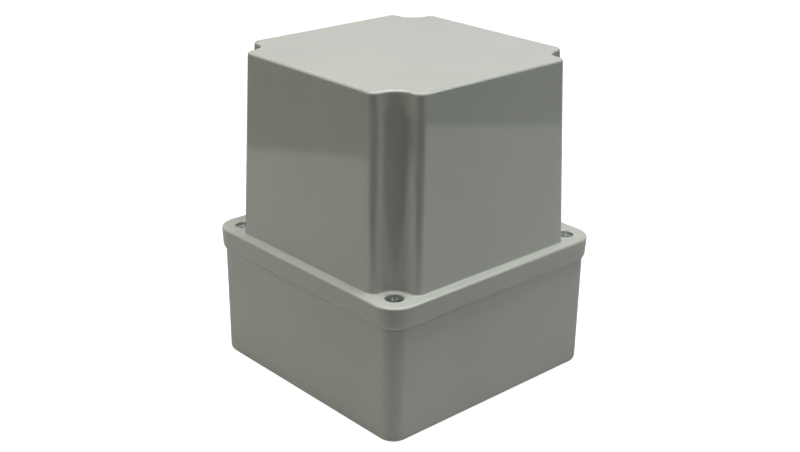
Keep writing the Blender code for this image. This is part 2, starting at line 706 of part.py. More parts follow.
def clamp_screw(number, side_name, side):
    x, y = terminal_x(number) + CLAMP_X, side * CLAMP_AT
    chamfer = 0.3 * MM
    profile = [
        (0, CLAMP_HEAD_TOP),
        (CLAMP_HEAD_RADIUS - chamfer, CLAMP_HEAD_TOP),
        (CLAMP_HEAD_RADIUS, CLAMP_HEAD_TOP - chamfer),
        (CLAMP_HEAD_RADIUS, CLAMP_HEAD_BOTTOM),
        (CLAMP_THREAD_RADIUS, CLAMP_HEAD_BOTTOM),
        (CLAMP_THREAD_RADIUS, BAR_TOP + GAP + chamfer),
        (CLAMP_THREAD_RADIUS - chamfer, BAR_TOP + GAP),
        (0, BAR_TOP + GAP),
    ]
    screw = turned(f"clamp_screw_{number}_{side_name}", profile, (x, y, 0), SMALL_STEPS)
    driver_slot(screw, x, y, CLAMP_HEAD_RADIUS, CLAMP_HEAD_TOP, SMALL_SCREW_SLOT)
    return finish(screw, ZINC)


def marker_tag(number):
    x, bottom = terminal_x(number), HUMP_TOP + GAP
    half_width, half_length = TAG_WIDTH / 2, TAG_LENGTH / 2
    high = (x + half_width, half_length, bottom + TAG_HEIGHT)
    return finish(block(f"marker_tag_{number}", (x - half_width, -half_length, bottom), high), WHITE_NYLON)


def end_pieces():
    """The plate that closes the last terminal, and the stops that hold the row on the rail."""
    row_half = TERMINALS * PITCH / 2
    plate_x = row_half + GAP / 2 + END_PLATE / 2
    finish(across_rail("terminal_end_plate", housing_outline(), END_PLATE, plate_x), TERMINAL_GREY)
    side = [
        (END_STOP_HALF, HOOK_BOTTOM),
        (END_STOP_HALF, END_STOP_SHOULDER),
        (END_STOP_TOP_HALF, END_STOP_TOP),
    ]
    left = -row_half - GAP / 2 - END_STOP / 2
    right = plate_x + END_PLATE / 2 + GAP + END_STOP / 2
    for side_name, x in (("left", left), ("right", right)):
        stop = across_rail(f"end_stop_{side_name}", mirrored(hooked_foot() + side), END_STOP, x)
        finish(stop, TERMINAL_GREY)


# ---- Assembly ----------------------------------------------------------------------------------------
def main():
    base_shell()
    lid_shell()
    lid_gasket()
    for place, (x_side, y_side) in CORNERS.items():
        lid_screw(place, x_side * SCREW_AT, y_side * SCREW_AT)
        screw_retainer(place, x_side * SCREW_AT, y_side * SCREW_AT)
        wall_plug(place, x_side * WALL_HOLE_X, y_side * WALL_HOLE_Y)
    din_rail()
    rail_screw("left", -1)
    rail_screw("right", 1)
    for number in range(1, TERMINALS + 1):
        finish(terminal_housing(number), HOUSING_COLOURS[number - 1])
        terminal_bar(number)
        for side_name, side in (("front", -1), ("back", 1)):
            clamp_cage(number, side_name, side)
            clamp_screw(number, side_name, side)
        marker_tag(number)
    earth_foot()
    earth_foot_screw()
    end_pieces()


clear_scene()
PARTS = new_collection("junction_box")
CUTTERS = new_collection("cutters")
GREY_PLASTIC = material("grey_plastic", (0.52, 0.54, 0.49), 0.38)
BLACK_RUBBER = material("black_rubber", (0.03, 0.03, 0.03), 0.75)
STEEL = material("steel", (0.55, 0.56, 0.57), 0.3, 1.0)
ZINC = material("zinc", (0.62, 0.63, 0.64), 0.4, 1.0)
BRASS = material("brass", (0.72, 0.55, 0.28), 0.35, 1.0)
WHITE_NYLON = material("white_nylon", (0.8, 0.8, 0.76), 0.5)
TERMINAL_GREY = material("terminal_grey", (0.38, 0.39, 0.39), 0.5)
TERMINAL_BLUE = material("terminal_blue", (0.03, 0.14, 0.45), 0.5)
EARTH_GREEN = material("earth_green", (0.1, 0.4, 0.08), 0.5)
HOUSING_COLOURS = [TERMINAL_GREY, TERMINAL_GREY, TERMINAL_BLUE, EARTH_GREEN]
main()
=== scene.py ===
"""Looks of the electrical junction box: fine-stepped shells, threaded screws, plastic and metal finishes."""

import json
import math

import bmesh
import bpy
from mathutils import Matrix, Vector


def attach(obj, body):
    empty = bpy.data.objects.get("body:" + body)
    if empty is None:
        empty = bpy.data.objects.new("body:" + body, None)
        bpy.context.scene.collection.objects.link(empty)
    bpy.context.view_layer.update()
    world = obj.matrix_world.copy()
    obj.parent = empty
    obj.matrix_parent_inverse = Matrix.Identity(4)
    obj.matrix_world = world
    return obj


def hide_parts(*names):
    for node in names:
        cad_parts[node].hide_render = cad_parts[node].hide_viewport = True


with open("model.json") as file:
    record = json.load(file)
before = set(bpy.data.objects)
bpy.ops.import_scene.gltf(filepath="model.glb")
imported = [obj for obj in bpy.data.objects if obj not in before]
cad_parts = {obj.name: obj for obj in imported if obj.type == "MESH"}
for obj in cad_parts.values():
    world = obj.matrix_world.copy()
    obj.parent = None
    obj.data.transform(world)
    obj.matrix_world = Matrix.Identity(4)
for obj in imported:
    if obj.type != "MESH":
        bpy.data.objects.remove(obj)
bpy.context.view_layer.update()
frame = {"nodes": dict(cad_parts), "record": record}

MM = 0.001
GAP = 0.3 * MM  # what the CAD leaves between pieces that touch
PAST = 1 * MM  # how far a cutter reaches past the face that it opens
SHARP = math.radians(32)
CORNERS = {
    "front_left": (-1, -1),
    "front_right": (1, -1),
    "back_left": (-1, 1),
    "back_right": (1, 1),
}

# ---- Enclosure sizes, as the CAD has them unless a comment says otherwise ------------------------------
FLANGE_HALF, FLANGE_CORNER, FLANGE_DRAFT = 54.0 * MM, 9.3 * MM, 0.3 * MM
FLANGE_TOP, FLANGE_BOTTOM = 55.1 * MM, 46.0 * MM
FLANGE_TOP_EDGE = (0.9 * MM, 0.9 * MM)
FLANGE_LOWER_EDGE = (1.3 * MM, 2.4 * MM)
PLATE, SKIRT = 3.2 * MM, 2.1 * MM
LID_TOP = 128.0 * MM
DOME_FOOT_HALF, DOME_TOP_HALF = 50.3 * MM, 47.8 * MM
DOME_WALL, DOME_ROOF = 2.0 * MM, 2.2 * MM
DOME_TOP_EDGE = (1.0 * MM, 1.0 * MM)
DOME_FOOT_FILLET = 0.7 * MM  # 0.5 mm in the CAD
FILLET_STEPS = 6  # only here
CEILING_EDGE = (1.6 * MM, 1.6 * MM)  # 1.0 mm in the CAD
LIP_RADIUS, COVE_RADIUS = 3.2 * MM, 8.0 * MM
BASE_FOOT_HALF, BASE_SHOULDER_HALF, BASE_SHOULDER = 52.1 * MM, 52.3 * MM, 45.9 * MM
BASE_RIM_HALF, BASE_RIM, BASE_RIM_CORNER = 51.4 * MM, 49.7 * MM, 6.7 * MM
BASE_CORNER, BASE_WALL, BASE_FLOOR = 6.8 * MM, 2.2 * MM, 2.2 * MM
BASE_LOWER_EDGE = (2.4 * MM, 2.4 * MM)
CAVITY_EDGE = (1.5 * MM, 1.5 * MM)
RIB_OUT, RIB_HEIGHT = 1.1 * MM, 1.2 * MM
RIB_TAPER = (0.25 * MM, 0.3 * MM)  # only here: how far in its tip is, and over what height
GASKET_INNER, GASKET_OUTER = 0.8 * MM, -1.2 * MM
GASKET_TOP, GASKET_BOTTOM = 51.6 * MM, 50.0 * MM

SCREW_AT = 45.0 * MM
HEAD_RADIUS, HEAD_HEIGHT, HEAD_TOP = 3.15 * MM, 1.3 * MM, 54.4 * MM
HEAD_EDGE = 0.35 * MM  # a 0.3 mm chamfer in the CAD
NECK_RADIUS, THREAD_RADIUS = 1.4 * MM, 1.95 * MM
THREAD_CORE = 1.45 * MM  # only here, because the CAD's thread is smooth
THREAD_TOP, THREAD_BOTTOM, THREAD_PITCH = 41.3 * MM, 32.5 * MM, 1.5 * MM
THREAD_ROWS = 60  # only here
# Each slot's half length and half width. The CAD's slots are straight, with a half width of 0.45 mm.
CROSS_MOUTH, CROSS_FLOOR = (1.9 * MM, 0.42 * MM), (0.62 * MM, 0.26 * MM)
CROSS_DEPTH = 1.0 * MM
RECESS_RADIUS, RECESS_MOUTH, BORE_RADIUS = 3.45 * MM, 0.4 * MM, 2.25 * MM
RETAINER_BORE = 3.1 * MM
WALL_HOLE_X, WALL_HOLE_Y, WALL_HOLE_RADIUS = 31.0 * MM, 34.0 * MM, 2.6 * MM
WALL_RECESS_RADIUS, WALL_RECESS_FLOOR = 4.4 * MM, 3.0 * MM
COLLAR_RADIUS, COLLAR_TOP = 6.0 * MM, 6.0 * MM
RAIL_SCREW_AT, RAIL_BOSS_RADIUS, RAIL_BOSS_TOP = 34.0 * MM, 4.5 * MM, 6.9 * MM
PILOT_RADIUS, PILOT_FLOOR = 2.0 * MM, 3.2 * MM

# ---- Moulding marks, which the CAD leaves out ----------------------------------------------------------
EJECTOR_RADIUS, EJECTOR_DEPTH = 3 * MM, 0.15 * MM
LID_EJECTOR_AT = 28 * MM
BASE_EJECTOR_X, BASE_EJECTOR_Y = 42 * MM, 20 * MM
GATE_RADIUS, GATE_DEPTH = 2.2 * MM, 0.3 * MM

# ---- Terminals: places as the CAD has them, and funnels, which it leaves out ----------------------------
TERMINAL_PITCH, HOUSING_HALF = 8.2 * MM, 22.0 * MM
WIRE_ASIDE, WIRE_HEIGHT = 0.55 * MM, 26.6 * MM
FUNNEL_MOUTH, FUNNEL_THROAT, FUNNEL_DEPTH = 3.1 * MM, 2.55 * MM, 0.9 * MM


# ---- Materials -----------------------------------------------------------------------------------------
class Surface:
    """A Principled material whose colour, roughness and bump come from procedural nodes."""

    def __init__(self, name, roughness, metallic=0.0, **sockets):
        self.material = bpy.data.materials.new(name)
        self.material.use_nodes = True
        self.nodes = self.material.node_tree.nodes
        self.links = self.material.node_tree.links
        self.shader = self.nodes["Principled BSDF"]
        self.shader.inputs["Roughness"].default_value = roughness
        self.shader.inputs["Metallic"].default_value = metallic
        for socket, value in sockets.items():
            self.shader.inputs[socket.replace("_", " ")].default_value = value
        self.place = self.nodes.new("ShaderNodeTexCoord").outputs["Object"]

    def node(self, kind, **inputs):
        made = self.nodes.new(kind)
        for socket, value in inputs.items():
            target = made.inputs[socket.replace("_", " ")]
            if hasattr(value, "links"):
                self.links.new(value, target)
            else:
                target.default_value = value
        return made

    def noise(self, scale, detail=2.0, stretch=None):
        """Noise from 0 to 1. scale is in features a metre, and stretch scales its axes."""
        place = self.place
        if stretch:
            place = self.node("ShaderNodeMapping", Vector=place, Scale=stretch).outputs["Vector"]
        return self.node("ShaderNodeTexNoise", Vector=place, Scale=scale, Detail=detail).outputs["Fac"]

    def ranged(self, value, low, high):
        """A value that mostly lies from 0.3 to 0.7, spread from low to high."""
        spread = {"From_Min": 0.3, "From_Max": 0.7, "To_Min": low, "To_Max": high}
        return self.node("ShaderNodeMapRange", Value=value, **spread).outputs["Result"]

    def mixed(self, factor, first, second):
        ramp = self.nodes.new("ShaderNodeValToRGB")
        ramp.color_ramp.elements[0].color = (*first, 1.0)
        ramp.color_ramp.elements[1].color = (*second, 1.0)
        self.links.new(factor, ramp.inputs["Fac"])
        return ramp.outputs["Color"]

    def colour(self, value):
        self.links.new(value, self.shader.inputs["Base Color"])

    def rough(self, value):
        self.links.new(value, self.shader.inputs["Roughness"])

    def bump(self, *layers):
        """Stacks (height from 0 to 1, depth in metres) layers on the shader's normal."""
        normal = None
        for height, depth in layers:
            made = self.node("ShaderNodeBump", Height=height, Distance=depth)
            if normal:
                self.links.new(normal, made.inputs["Normal"])
            normal = made.outputs["Normal"]
        self.links.new(normal, self.shader.inputs["Normal"])


def scaled(colour, factor):
    return tuple(channel * factor for channel in colour)


def moulded(name, colour, roughness, grain=0.004 * MM, wave=0.02 * MM, spread=0.03, **sockets):
    """A moulded plastic: faint flow marks in its colour, uneven gloss, fine grain and slow waviness."""
    made = Surface(name, roughness, **sockets)
    flow = made.ranged(made.noise(22.0, 4.0, (1.0, 1.0, 0.35)), 0.0, 1.0)
    made.colour(made.mixed(flow, scaled(colour, 1.0 - spread), scaled(colour, 1.0 + spread)))
    made.rough(made.ranged(made.noise(70.0, 5.0), roughness * 0.85, roughness * 1.2))
    made.bump((made.noise(38.0, 1.0), wave), (made.noise(2600.0, 3.0), grain))
    return made.material


def metal(name, colour, tint, roughness, depth=0.01 * MM, scale=900.0, stretch=None):
    """A metal with uneven tint and gloss, and the fine marks of its finish."""
    made = Surface(name, roughness, 1.0)
    made.colour(made.mixed(made.ranged(made.noise(260.0, 4.0), 0.0, 1.0), colour, tint))
    made.rough(made.ranged(made.noise(500.0, 4.0, stretch), roughness * 0.7, roughness * 1.4))
    made.bump((made.noise(scale, 4.0, stretch), depth))
    return made.material


def foam(name, colour):
    """Closed-cell foam rubber, with fine pores."""
    made = Surface(name, 0.8)
    cells = made.node("ShaderNodeTexVoronoi", Vector=made.place, Scale=2600.0).outputs["Distance"]
    patches = made.ranged(made.noise(300.0, 3.0), 0.0, 1.0)
    made.colour(made.mixed(patches, scaled(colour, 0.8), scaled(colour, 1.3)))
    made.bump((cells, 0.12 * MM))
    return made.material


BRUSHED_ALONG_X, BRUSHED_ALONG_Y = (0.05, 4.0, 4.0), (4.0, 0.08, 4.0)
GREY = moulded("grey_plastic", (0.54, 0.558, 0.505), 0.038, wave=0.01 * MM, IOR=1.57)
TERMINAL_GREY = moulded("terminal_grey", (0.30, 0.31, 0.32), 0.42, grain=0.01 * MM)
TERMINAL_BLUE = moulded("terminal_blue", (0.035, 0.16, 0.48), 0.42, grain=0.01 * MM)
EARTH_GREEN = moulded("earth_green", (0.10, 0.40, 0.10), 0.42, grain=0.01 * MM)
NYLON = moulded("white_nylon", (0.78, 0.78, 0.73), 0.45, grain=0.008 * MM, Subsurface_Weight=0.15)
STEEL = metal("steel", (0.44, 0.46, 0.47), (0.54, 0.55, 0.55), 0.20, 0.004 * MM)
ZINC = metal("zinc", (0.62, 0.64, 0.67), (0.70, 0.68, 0.60), 0.34)
BRUSHED_ZINC = metal(
    "brushed_zinc", (0.62, 0.64, 0.67), (0.68, 0.67, 0.62), 0.36, 0.012 * MM, 260.0, BRUSHED_ALONG_X
)
BRASS = metal("brass", (0.72, 0.53, 0.26), (0.80, 0.62, 0.34), 0.32, 0.01 * MM, 400.0, BRUSHED_ALONG_Y)
RUBBER = foam("black_rubber", (0.035, 0.035, 0.034))


# ---- Outlines ------------------------------------------------------------------------------------------
def arc(centre, radius, start, end, steps):
    """Points on an arc, from start to end in degrees."""
    angles = [math.radians(start + (end - start) * i / steps) for i in range(steps + 1)]
    return [(centre[0] + radius * math.cos(a), centre[1] + radius * math.sin(a)) for a in angles]


def four_times(corner):
    turns = [(1, 0), (0, 1), (-1, 0), (0, -1)]
    return [(x * c - y * s, x * s + y * c) for c, s in turns for x, y in corner]


def rounded_square(half, radius, steps=14):
    middle = half - radius
    return four_times(arc((middle, middle), radius, 0, 90, steps))


def notched_square(half, inset=0.0, steps=9):
    """The dome's plan, or one that lies inset inside it."""
    lip, cove = LIP_RADIUS - inset, COVE_RADIUS + inset
    inner = half - LIP_RADIUS - COVE_RADIUS
    first_lip = arc((half - lip, inner - lip), lip, 0, 90, steps)
    hollow = arc((inner + cove, inner + cove), cove, 270, 180, steps + 7)
    last_lip = arc((inner - lip, half - lip), lip, 0, 90, steps)
    return four_times(first_lip + hollow[1:-1] + last_lip)


def edge_round(size, steps=6):
    """Steps round a convex edge, as (how far in, how far along), from the side to the end face."""
    depth, height = size
    angles = [math.radians(90 * i / steps) for i in range(steps + 1)]
    return [(depth * (1 - math.cos(a)), height * math.sin(a)) for a in angles]


# ---- Solids --------------------------------------------------------------------------------------------
def new_object(name, bm):
    bmesh.ops.recalc_face_normals(bm, faces=bm.faces)
    mesh = bpy.data.meshes.new(name)
    bm.to_mesh(mesh)
    bm.free()
    obj = bpy.data.objects.new(name, mesh)
    bpy.context.scene.collection.objects.link(obj)
    return obj


def loft(name, rings, closed=False):
    """A body through (outline, height) rings. A closed one joins its last ring to its first."""
    bm = bmesh.new()
    layers = [[bm.verts.new((x, y, z)) for x, y in outline] for outline, z in rings]
    pairs = list(zip(layers, layers[1:]))
    if closed:
        pairs.append((layers[-1], layers[0]))
    for lower, upper in pairs:
        for i, corner in enumerate(lower):
            bm.faces.new((lower[i - 1], corner, upper[i], upper[i - 1]))
    if not closed:
        bm.faces.new(layers[0][::-1])
        bm.faces.new(layers[-1])
    return new_object(name, bm)


def turned(name, profile, x, y, steps=40, ripple=None):
    """A (radius, height) profile turned about an upright axis, with its ends on that axis.

    ripple(height, turn) adds to the radius, where turn runs from 0 to 1 round the axis.
    """
    bm = bmesh.new()
    top = bm.verts.new((x, y, profile[0][1]))
    bottom = bm.verts.new((x, y, profile[-1][1]))
    layers = []
    for radius, z in profile[1:-1]:
        layer = []
        for i in range(steps):
            reach = radius + (ripple(z, i / steps) if ripple else 0.0)
            angle = 2 * math.pi * i / steps
            layer.append(bm.verts.new((x + reach * math.cos(angle), y + reach * math.sin(angle), z)))
        layers.append(layer)
    for i in range(steps):
        bm.faces.new((top, layers[0][i - 1], layers[0][i]))
        bm.faces.new((bottom, layers[-1][i], layers[-1][i - 1]))
    for upper, lower in zip(layers, layers[1:]):
        for i in range(steps):
            bm.faces.new((upper[i - 1], upper[i], lower[i], lower[i - 1]))
    return new_object(name, bm)


def cylinder(name, radius, bottom, top, x=0.0, y=0.0, steps=40):
    return turned(name, [(0, top), (radius, top), (radius, bottom), (0, bottom)], x, y, steps)


def settle(obj):
    """Puts what the modifiers make into the object's own mesh."""
    bpy.context.view_layer.update()
    evaluated = obj.evaluated_get(bpy.context.evaluated_depsgraph_get())
    mesh = bpy.data.meshes.new_from_object(evaluated)
    obj.modifiers.clear()
    obj.data = mesh


def combined(obj, operation, others):
    for other in others:
        modifier = obj.modifiers.new("boolean", "BOOLEAN")
        modifier.operation = operation
        modifier.solver = "EXACT"
        modifier.object = other
    settle(obj)
    for other in others:
        bpy.data.objects.remove(other)


def cut(obj, *others):
    combined(obj, "DIFFERENCE", others)


def fuse(obj, *others):
    combined(obj, "UNION", others)


def show(obj, surface, body, nodes, bevel=0.0):
    """Finishes a piece: softened edges, smooth shading with flat faces kept flat, finish and body."""
    if bevel:
        softened = obj.modifiers.new("edges", "BEVEL")
        softened.width = bevel
        softened.segments = 2
        softened.limit_method = "ANGLE"
        softened.angle_limit = SHARP
        softened.harden_normals = False
        settle(obj)
    obj.data.materials.clear()
    obj.data.materials.append(surface)
    obj.data.shade_smooth()
    obj.data.set_sharp_from_angle(angle=SHARP)
    weighted = obj.modifiers.new("flat_faces", "WEIGHTED_NORMAL")
    weighted.keep_sharp = True
    weighted.weight = 80
    settle(obj)
    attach(obj, body)
    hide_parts(*nodes)


def node_copy(node, name):
    """A new object with a CAD node's mesh, to refine."""
    mesh = frame["nodes"][node].data.copy()
    bm = bmesh.new()
    bm.from_mesh(mesh)
    bmesh.ops.remove_doubles(bm, verts=bm.verts, dist=1e-6)
    bmesh.ops.dissolve_limit(bm, angle_limit=math.radians(1), verts=bm.verts, edges=bm.edges)
    return new_object(name, bm)


# ---- Enclosure -----------------------------------------------------------------------------------------
def dome_outline(height, inset=0.0):
    draft = (DOME_FOOT_HALF - DOME_TOP_HALF) / (LID_TOP - FLANGE_TOP)
    half = DOME_FOOT_HALF - draft * (height - FLANGE_TOP)
    return notched_square(half - inset, inset), height


def flange_rings():
    low_half, low_corner = FLANGE_HALF - FLANGE_DRAFT, FLANGE_CORNER - FLANGE_DRAFT
    low_height, top_height = FLANGE_LOWER_EDGE[1], FLANGE_TOP_EDGE[1]
    rings = [
        (rounded_square(low_half - inset, low_corner - inset), FLANGE_BOTTOM + low_height - along)
        for inset, along in reversed(edge_round(FLANGE_LOWER_EDGE))
    ]
    rings += [
        (rounded_square(FLANGE_HALF - inset, FLANGE_CORNER - inset), FLANGE_TOP - top_height + along)
        for inset, along in edge_round(FLANGE_TOP_EDGE)
    ]
    return rings


def dome_rings(in_plate):
    """The dome from inside the plate, up its fillet and its drafted walls, to its rounded top edge."""
    fillet = DOME_FOOT_FILLET
    rings = [(notched_square(DOME_FOOT_HALF + fillet, -fillet), in_plate)]
    for i in range(FILLET_STEPS + 1):
        angle = math.radians(90 * i / FILLET_STEPS)
        rise, spread = fillet * (1 - math.cos(angle)), fillet * (1 - math.sin(angle))
        rings.append(dome_outline(FLANGE_TOP + rise, -spread))
    edge_start = LID_TOP - DOME_TOP_EDGE[1]
    rings += [dome_outline(edge_start + along, inset) for inset, along in edge_round(DOME_TOP_EDGE)]
    return rings


def head_recess():
    """The profile of the cutter for a screw head's recess, with a rounded mouth."""
    wide = RECESS_RADIUS + RECESS_MOUTH
    high, floor = FLANGE_TOP + 3 * MM, HEAD_TOP - HEAD_HEIGHT - GAP
    profile = [(0, high), (wide, high)]
    for angle in map(math.radians, (0, 22, 45, 67, 90)):
        radius = wide - RECESS_MOUTH * math.sin(angle)
        profile.append((radius, FLANGE_TOP - RECESS_MOUTH * (1 - math.cos(angle))))
    return profile + [(RECESS_RADIUS, floor), (0, floor)]


def lid():
    shell = loft("lid_visual", flange_rings())
    plate_bottom, in_plate, below = FLANGE_TOP - PLATE, FLANGE_TOP - PLATE / 2, FLANGE_BOTTOM - PAST
    pocket = rounded_square(FLANGE_HALF - SKIRT, FLANGE_CORNER - SKIRT)
    cut(shell, loft("pocket", [(pocket, below), (pocket, plate_bottom)]))

    tip = plate_bottom - RIB_HEIGHT
    narrower, taper_height = RIB_TAPER
    rib = notched_square(DOME_FOOT_HALF - RIB_OUT, RIB_OUT)
    rib_tip = notched_square(DOME_FOOT_HALF - RIB_OUT - narrower, RIB_OUT + narrower)
    fuse(shell, loft("rib", [(rib_tip, tip), (rib, tip + taper_height), (rib, in_plate)]))
    fuse(shell, loft("dome", dome_rings(in_plate)))

    ceiling = LID_TOP - DOME_ROOF
    mouth = notched_square(DOME_FOOT_HALF - DOME_WALL, DOME_WALL)
    inside = [
        dome_outline(ceiling - CEILING_EDGE[1] + along, DOME_WALL + inset)
        for inset, along in edge_round(CEILING_EDGE)
    ]
    cut(shell, loft("cavity", [(mouth, below), (mouth, FLANGE_TOP), *inside]))
    marks = []
    for x_side, y_side in CORNERS.values():
        x, y = x_side * LID_EJECTOR_AT, y_side * LID_EJECTOR_AT
        marks.append(cylinder("ejector", EJECTOR_RADIUS, ceiling - PAST, ceiling + EJECTOR_DEPTH, x, y))
    gate = cylinder("gate", GATE_RADIUS, ceiling - PAST, ceiling + GATE_DEPTH)
    cut(shell, *marks, gate)
    for x_side, y_side in CORNERS.values():
        x, y = x_side * SCREW_AT, y_side * SCREW_AT
        recess = turned("recess", head_recess(), x, y)
        cut(shell, recess, cylinder("hole", BORE_RADIUS, below, FLANGE_TOP, x, y))
    show(shell, GREY, "lid", ["lid_shell"])


def gasket():
    """The gasket, with rounded sides, laid in the line of the rim."""
    middle, half_height = (GASKET_TOP + GASKET_BOTTOM) / 2, (GASKET_TOP - GASKET_BOTTOM) / 2
    centre, half_width = (GASKET_INNER + GASKET_OUTER) / 2, (GASKET_INNER - GASKET_OUTER) / 2
    rings = []
    sides = 16
    for i in range(sides):
        angle = 2 * math.pi * (i + 0.5) / sides
        across = math.copysign(abs(math.cos(angle)) ** 0.5, math.cos(angle))
        along = math.copysign(abs(math.sin(angle)) ** 0.5, math.sin(angle))
        inset = centre + half_width * across
        rings.append((notched_square(DOME_FOOT_HALF - inset, inset), middle + half_height * along))
    show(loft("gasket_visual", rings, closed=True), RUBBER, "lid", ["lid_gasket"])


def base():
    low_height = BASE_LOWER_EDGE[1]
    rings = [
        (rounded_square(BASE_FOOT_HALF - inset, BASE_CORNER - inset), low_height - along)
        for inset, along in reversed(edge_round(BASE_LOWER_EDGE))
    ]
    soft = 0.25 * MM
    shoulder = BASE_SHOULDER_HALF
    rings += [
        (rounded_square(shoulder, BASE_CORNER), BASE_SHOULDER - soft),
        (rounded_square(shoulder - 0.3 * soft, BASE_CORNER - 0.3 * soft), BASE_SHOULDER - 0.3 * soft),
        (rounded_square(shoulder - soft, BASE_CORNER - soft), BASE_SHOULDER),
        (rounded_square(BASE_RIM_HALF, BASE_RIM_CORNER), BASE_SHOULDER),
        (rounded_square(BASE_RIM_HALF, BASE_RIM_CORNER), BASE_RIM - soft),
        (rounded_square(BASE_RIM_HALF - soft, BASE_RIM_CORNER - soft), BASE_RIM),
    ]
    shell = loft("base_visual", rings)
    mouth_half, floor_half = shoulder - BASE_WALL, BASE_FOOT_HALF - BASE_WALL
    skin = DOME_FOOT_HALF - mouth_half
    inside = [
        (notched_square(floor_half - inset, skin + inset), BASE_FLOOR + CAVITY_EDGE[1] - along)
        for inset, along in reversed(edge_round(CAVITY_EDGE))
    ]
    mouth = notched_square(mouth_half, skin)
    above = BASE_RIM + PAST
    cut(shell, loft("cavity", [*inside, (mouth, BASE_SHOULDER), (mouth, above)]))

    in_floor = BASE_FLOOR / 2
    for side in (-1, 1):
        x = side * RAIL_SCREW_AT
        fuse(shell, cylinder("boss", RAIL_BOSS_RADIUS, in_floor, RAIL_BOSS_TOP, x, 0))
        cut(shell, cylinder("pilot", PILOT_RADIUS, PILOT_FLOOR, RAIL_BOSS_TOP + PAST, x, 0))
    high, low, flare = 5 * MM, -0.2 * MM, 3.2 * MM
    wall_hole = [(0, high), (WALL_HOLE_RADIUS, high), (WALL_HOLE_RADIUS, 0.4 * MM), (flare, low), (0, low)]
    for x_side, y_side in CORNERS.values():
        x, y = x_side * WALL_HOLE_X, y_side * WALL_HOLE_Y
        fuse(shell, cylinder("collar", COLLAR_RADIUS, in_floor, COLLAR_TOP, x, y))
        cut(
            shell,
            cylinder("wall_recess", WALL_RECESS_RADIUS, WALL_RECESS_FLOOR, COLLAR_TOP + PAST, x, y),
            turned("wall_hole", wall_hole, x, y),
        )
        x, y = x_side * SCREW_AT, y_side * SCREW_AT
        cut(
            shell,
            cylinder("retainer_bore", RETAINER_BORE, THREAD_TOP - GAP, above, x, y),
            cylinder("thread_bore", BORE_RADIUS, THREAD_BOTTOM - PAST, BASE_RIM, x, y),
        )
    marks = []
    for x_side, y_side in CORNERS.values():
        x, y = x_side * BASE_EJECTOR_X, y_side * BASE_EJECTOR_Y
        marks.append(cylinder("ejector", EJECTOR_RADIUS, -PAST, EJECTOR_DEPTH, x, y))
    cut(shell, *marks)
    show(shell, GREY, "base", ["base_shell"])


# ---- Lid screws ----------------------------------------------------------------------------------------
def tapered_cross(x, y, top):
    """The two cutters for a cross recess, narrower and shorter towards its floor."""
    levels = [(CROSS_FLOOR, -CROSS_DEPTH), (CROSS_MOUTH, 0.0), (CROSS_MOUTH, CROSS_DEPTH)]
    arms = []
    for quarter_turn in (False, True):
        rings = []
        for (reach, width), rise in levels:
            corners = [(reach, -width), (reach, width), (-reach, width), (-reach, -width)]
            if quarter_turn:
                corners = [(-v, u) for u, v in corners]
            rings.append(([(u + x, v + y) for u, v in corners], top + rise))
        arms.append(loft("cross", rings))
    return arms


def lid_screw(place, x, y):
    seat = HEAD_TOP - HEAD_HEIGHT
    edge = HEAD_EDGE
    profile = [(0, HEAD_TOP), (0.4 * HEAD_RADIUS, HEAD_TOP - 0.005 * MM)]
    for angle in (0.0, 0.4, 0.8, 1.2, math.pi / 2):
        drop = edge * (1 - math.cos(angle))
        profile.append((HEAD_RADIUS - edge + edge * math.sin(angle), HEAD_TOP - drop - 0.02 * MM))
    profile += [(HEAD_RADIUS, seat + 0.15 * MM), (HEAD_RADIUS - 0.15 * MM, seat)]
    profile += [(NECK_RADIUS, seat), (NECK_RADIUS, THREAD_TOP + 0.1 * MM)]
    for i in range(THREAD_ROWS + 1):
        z = THREAD_TOP + (THREAD_BOTTOM - THREAD_TOP) * i / THREAD_ROWS
        taper = min(1.0, 0.35 + 0.65 * (z - THREAD_BOTTOM) / (2 * MM))
        profile.append((THREAD_CORE * taper, z))
    profile.append((0, THREAD_BOTTOM))

    def ripple(z, turn):
        """A coarse right-hand thread that fades out at both of its ends."""
        if z > THREAD_TOP:
            return 0.0
        phase = (z / THREAD_PITCH - turn) % 1.0
        ridge = max(0.0, 1.0 - abs(phase - 0.5) / 0.28)
        fade = min(1.0, (THREAD_TOP - z) / (0.5 * MM), max(0.0, z - THREAD_BOTTOM) / (1.5 * MM))
        return (THREAD_RADIUS - THREAD_CORE) * ridge * fade

    screw = turned(f"screw_visual_{place}", profile, x, y, 48, ripple)
    cut(screw, *tapered_cross(x, y, HEAD_TOP))
    show(screw, STEEL, f"lid_screw_{place}", [f"lid_screw_{place}"])


# ---- Terminals -----------------------------------------------------------------------------------------
HOUSINGS = [
    (TERMINAL_GREY, "terminal_grey"),
    (TERMINAL_GREY, "terminal_grey"),
    (TERMINAL_BLUE, "terminal_blue"),
    (EARTH_GREEN, "earth_green"),
]


def terminal_housings():
    """The CAD's housings, with a funnel at each wire entry."""
    outside, inside = (FUNNEL_MOUTH + 0.3 * MM, 0.5 * MM), (FUNNEL_THROAT, -FUNNEL_DEPTH)
    funnel_profile = [(0, outside[1]), outside, inside, (0, inside[1])]
    for number, (surface, slot) in enumerate(HOUSINGS, start=1):
        node = f"terminal_{number}_housing"
        housing = node_copy(node, f"{node}_visual")
        wire_x = (number - (len(HOUSINGS) + 1) / 2) * TERMINAL_PITCH + WIRE_ASIDE
        for side in (-1, 1):
            funnel = turned("funnel", funnel_profile, 0, 0)
            funnel.rotation_euler = (-side * math.pi / 2, 0, 0)
            funnel.location = (wire_x, side * HOUSING_HALF, WIRE_HEIGHT)
            cut(housing, funnel)
        show(housing, surface, "base", [node], 0.15 * MM)


